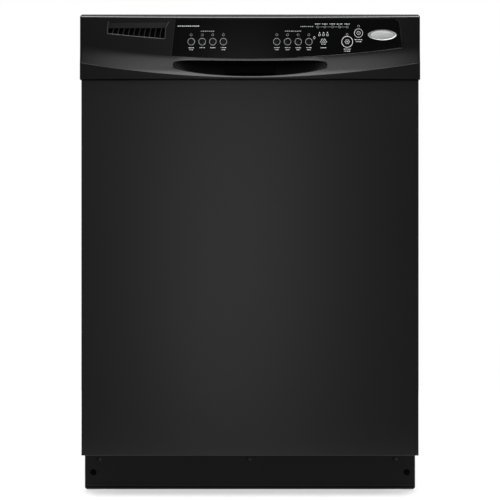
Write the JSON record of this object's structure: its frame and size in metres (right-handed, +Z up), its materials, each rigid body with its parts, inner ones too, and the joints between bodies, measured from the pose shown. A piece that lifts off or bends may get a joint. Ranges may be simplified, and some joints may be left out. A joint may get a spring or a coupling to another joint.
{
  "type": "built in dishwasher",
  "caption": "Built-in undercounter dishwasher with a flat drop-down door, bowed control console with keys, vent and hand pocket, pull-out racks, tub and chassis.",
  "frame": {"origin": "middle of the base, on the floor", "axes": "+X to the right as seen from the front, the door faces -Y, +Z up"},
  "size_m": [0.6064, 0.622, 0.864],
  "materials": {
    "black_paint": "satin",
    "black_plastic": "satin",
    "overlay": "gloss",
    "key": "gloss",
    "badge": "satin",
    "white_plastic": "satin",
    "grey_plastic": "satin",
    "steel": "satin",
    "rubber": "matte",
    "wire": "satin",
    "felt": "matte",
    "board": "matte",
    "element_metal": "satin"
  },
  "bodies": {
    "cabinet": {"tub": "grey_plastic", "tub_gasket": "rubber", "chassis_frame": "steel", "toe_kick_panel": "black_plastic", "toe_kick_screw_left": "steel", "toe_kick_screw_right": "steel", "mounting_bracket_left": "steel", "mounting_bracket_right": "steel", "sump_housing": "black_plastic", "wash_motor": "steel", "drain_pump": "white_plastic", "heating_element": "element_metal", "water_valve": "white_plastic", "insulation_blanket": "felt", "door_strike": "steel", "door_spring_left": "steel", "door_spring_right": "steel", "feed_tube": "grey_plastic"},
    "door": {"door_outer_panel": "black_paint", "door_inner_liner": "grey_plastic", "console_housing": "black_plastic", "keypad_overlay": "overlay", "nameplate": "badge", "control_board": "board", "dispenser_housing": "white_plastic", "hinge_arm_left": "steel", "hinge_arm_right": "steel"},
    "paddle": {"latch_paddle": "key"},
    "hook": {"latch_hook": "steel"},
    "lid": {"dispenser_lid": "grey_plastic"},
    "cap": {"rinse_aid_cap": "white_plastic"},
    "upper_rack": {"upper_rack": "wire"},
    "lower_rack": {"lower_rack": "wire"},
    "basket": {"silverware_basket": "grey_plastic"},
    "rail_left": {"upper_rack_rail_left": "steel"},
    "rail_right": {"upper_rack_rail_right": "steel"},
    "upper_arm": {"upper_spray_arm": "grey_plastic"},
    "lower_arm": {"lower_spray_arm": "grey_plastic"},
    "float": {"float_dome": "white_plastic"},
    "cord_left": {"balance_cord_left": "key"},
    "cord_right": {"balance_cord_right": "key"},
    "key_cycle_1_body": {"key_cycle_1": "key"},
    "key_cycle_2_body": {"key_cycle_2": "key"},
    "key_cycle_3_body": {"key_cycle_3": "key"},
    "key_cycle_4_body": {"key_cycle_4": "key"},
    "key_option_1_body": {"key_option_1": "key"},
    "key_option_2_body": {"key_option_2": "key"},
    "key_option_3_body": {"key_option_3": "key"},
    "key_option_4_body": {"key_option_4": "key"},
    "key_delay_body": {"key_delay": "key"},
    "key_start_body": {"key_start": "key"},
    "key_cancel_body": {"key_cancel": "key"},
    "foot_front_left_body": {"foot_front_left": "black_plastic"},
    "wheel_front_left": {"lower_rack_wheel_front_left": "grey_plastic"},
    "foot_front_right_body": {"foot_front_right": "black_plastic"},
    "wheel_front_right": {"lower_rack_wheel_front_right": "grey_plastic"},
    "foot_rear_left_body": {"foot_rear_left": "black_plastic"},
    "wheel_rear_left": {"lower_rack_wheel_rear_left": "grey_plastic"},
    "foot_rear_right_body": {"foot_rear_right": "black_plastic"},
    "wheel_rear_right": {"lower_rack_wheel_rear_right": "grey_plastic"}
  },
  "joints": [
    {"name": "door_hinge", "type": "hinge", "parent": "cabinet", "child": "door", "pos_m": [0, -0.245, 0.1], "axis": [1, 0, 0], "range_deg": [0, 90], "stiffness_Nm_per_rad": 17},
    {"name": "paddle_pivot", "type": "hinge", "parent": "door", "child": "paddle", "pos_m": [0, -0.2775, 0.792], "axis": [-1, 0, 0], "range_deg": [0, 14], "stiffness_Nm_per_rad": 0.6},
    {"name": "hook_pivot", "type": "hinge", "parent": "door", "child": "hook", "pos_m": [0, -0.252, 0.827], "axis": [-1, 0, 0], "range_deg": [0, 8]},
    {"name": "lid_slide", "type": "slide", "parent": "door", "child": "lid", "axis": [0, 0, -1], "range_m": [0, 0.086]},
    {"name": "cap_turn", "type": "hinge", "parent": "door", "child": "cap", "pos_m": [0.042, -0.2127, 0.528], "axis": [0, 1, 0], "range_deg": [0, 90]},
    {"name": "upper_rack_slide", "type": "slide", "parent": "cabinet", "child": "upper_rack", "axis": [0, -1, 0], "range_m": [0, 0.45]},
    {"name": "rail_left_slide", "type": "slide", "parent": "cabinet", "child": "rail_left", "axis": [0, -1, 0], "range_m": [0, 0.226]},
    {"name": "rail_right_slide", "type": "slide", "parent": "cabinet", "child": "rail_right", "axis": [0, -1, 0], "range_m": [0, 0.226]},
    {"name": "lower_rack_slide", "type": "slide", "parent": "cabinet", "child": "lower_rack", "axis": [0, -1, 0], "range_m": [0, 0.158]},
    {"name": "basket_lift", "type": "slide", "parent": "lower_rack", "child": "basket", "axis": [0, 0, 1], "range_m": [0, 0.1]},
    {"name": "upper_arm_spin", "type": "hinge", "parent": "upper_rack", "child": "upper_arm", "pos_m": [0, 0.02, 0.438], "axis": [0, 0, 1], "continuous": true},
    {"name": "lower_arm_spin", "type": "hinge", "parent": "cabinet", "child": "lower_arm", "pos_m": [0, 0, 0.158], "axis": [0, 0, 1], "continuous": true},
    {"name": "float_rise", "type": "slide", "parent": "cabinet", "child": "float", "axis": [0, 0, 1], "range_m": [0, 0.012]},
    {"name": "cord_left_slide", "type": "slide", "parent": "cabinet", "child": "cord_left", "axis": [0, -1, 0], "range_m": [0, 0.0255], "deforming": ["door_spring_left"]},
    {"name": "cord_right_slide", "type": "slide", "parent": "cabinet", "child": "cord_right", "axis": [0, -1, 0], "range_m": [0, 0.0255], "deforming": ["door_spring_right"]},
    {"name": "key_cycle_1_press", "type": "slide", "parent": "door", "child": "key_cycle_1_body", "axis": [0.0238, 0.9997, 0], "range_m": [0, 0.0005], "stiffness_N_per_m": 2000},
    {"name": "key_cycle_2_press", "type": "slide", "parent": "door", "child": "key_cycle_2_body", "axis": [0.0194, 0.9998, 0], "range_m": [0, 0.0005], "stiffness_N_per_m": 2000},
    {"name": "key_cycle_3_press", "type": "slide", "parent": "door", "child": "key_cycle_3_body", "axis": [0.0151, 0.9999, 0], "range_m": [0, 0.0005], "stiffness_N_per_m": 2000},
    {"name": "key_cycle_4_press", "type": "slide", "parent": "door", "child": "key_cycle_4_body", "axis": [0.0108, 0.9999, 0], "range_m": [0, 0.0005], "stiffness_N_per_m": 2000},
    {"name": "key_option_1_press", "type": "slide", "parent": "door", "child": "key_option_1_body", "axis": [-0.0109, 0.9999, 0], "range_m": [0, 0.0005], "stiffness_N_per_m": 2000},
    {"name": "key_option_2_press", "type": "slide", "parent": "door", "child": "key_option_2_body", "axis": [-0.0152, 0.9999, 0], "range_m": [0, 0.0005], "stiffness_N_per_m": 2000},
    {"name": "key_option_3_press", "type": "slide", "parent": "door", "child": "key_option_3_body", "axis": [-0.0196, 0.9998, 0], "range_m": [0, 0.0005], "stiffness_N_per_m": 2000},
    {"name": "key_option_4_press", "type": "slide", "parent": "door", "child": "key_option_4_body", "axis": [-0.0239, 0.9997, 0], "range_m": [0, 0.0005], "stiffness_N_per_m": 2000},
    {"name": "key_delay_press", "type": "slide", "parent": "door", "child": "key_delay_body", "axis": [-0.0298, 0.9996, 0], "range_m": [0, 0.0005], "stiffness_N_per_m": 2000},
    {"name": "key_start_press", "type": "slide", "parent": "door", "child": "key_start_body", "axis": [-0.0394, 0.9992, 0], "range_m": [0, 0.0005], "stiffness_N_per_m": 2000},
    {"name": "key_cancel_press", "type": "slide", "parent": "door", "child": "key_cancel_body", "axis": [-0.044, 0.999, 0], "range_m": [0, 0.0005], "stiffness_N_per_m": 2000},
    {"name": "foot_front_left_screw", "type": "slide", "parent": "cabinet", "child": "foot_front_left_body", "axis": [0, 0, -1], "range_m": [0, 0.03]},
    {"name": "foot_front_right_screw", "type": "slide", "parent": "cabinet", "child": "foot_front_right_body", "axis": [0, 0, -1], "range_m": [0, 0.03]},
    {"name": "foot_rear_left_screw", "type": "slide", "parent": "cabinet", "child": "foot_rear_left_body", "axis": [0, 0, -1], "range_m": [0, 0.03]},
    {"name": "foot_rear_right_screw", "type": "slide", "parent": "cabinet", "child": "foot_rear_right_body", "axis": [0, 0, -1], "range_m": [0, 0.03]},
    {"name": "wheel_front_left_spin", "type": "hinge", "parent": "lower_rack", "child": "wheel_front_left", "pos_m": [-0.253, -0.066, 0.1621], "axis": [1, 0, 0], "continuous": true},
    {"name": "wheel_front_right_spin", "type": "hinge", "parent": "lower_rack", "child": "wheel_front_right", "pos_m": [0.253, -0.066, 0.1621], "axis": [1, 0, 0], "continuous": true},
    {"name": "wheel_rear_left_spin", "type": "hinge", "parent": "lower_rack", "child": "wheel_rear_left", "pos_m": [-0.253, 0.19, 0.1621], "axis": [1, 0, 0], "continuous": true},
    {"name": "wheel_rear_right_spin", "type": "hinge", "parent": "lower_rack", "child": "wheel_rear_right", "pos_m": [0.253, 0.19, 0.1621], "axis": [1, 0, 0], "continuous": true}
  ],
  "couplings": [
    {"joint": "hook_pivot", "follows": "paddle_pivot", "ratio": 0.5714},
    {"joint": "upper_rack_slide", "follows": "door_hinge", "m_per_rad": 0.286},
    {"joint": "rail_left_slide", "follows": "door_hinge", "m_per_rad": 0.143},
    {"joint": "rail_right_slide", "follows": "door_hinge", "m_per_rad": 0.143},
    {"joint": "lower_rack_slide", "follows": "door_hinge", "m_per_rad": 0.1},
    {"joint": "cord_left_slide", "follows": "door_hinge", "m_per_rad": 0.016},
    {"joint": "cord_right_slide", "follows": "door_hinge", "m_per_rad": 0.016},
    {"joint": "wheel_front_left_spin", "follows": "door_hinge", "ratio": 7.1429},
    {"joint": "wheel_front_right_spin", "follows": "door_hinge", "ratio": 7.1429},
    {"joint": "wheel_rear_left_spin", "follows": "door_hinge", "ratio": 7.1429},
    {"joint": "wheel_rear_right_spin", "follows": "door_hinge", "ratio": 7.1429}
  ]
}
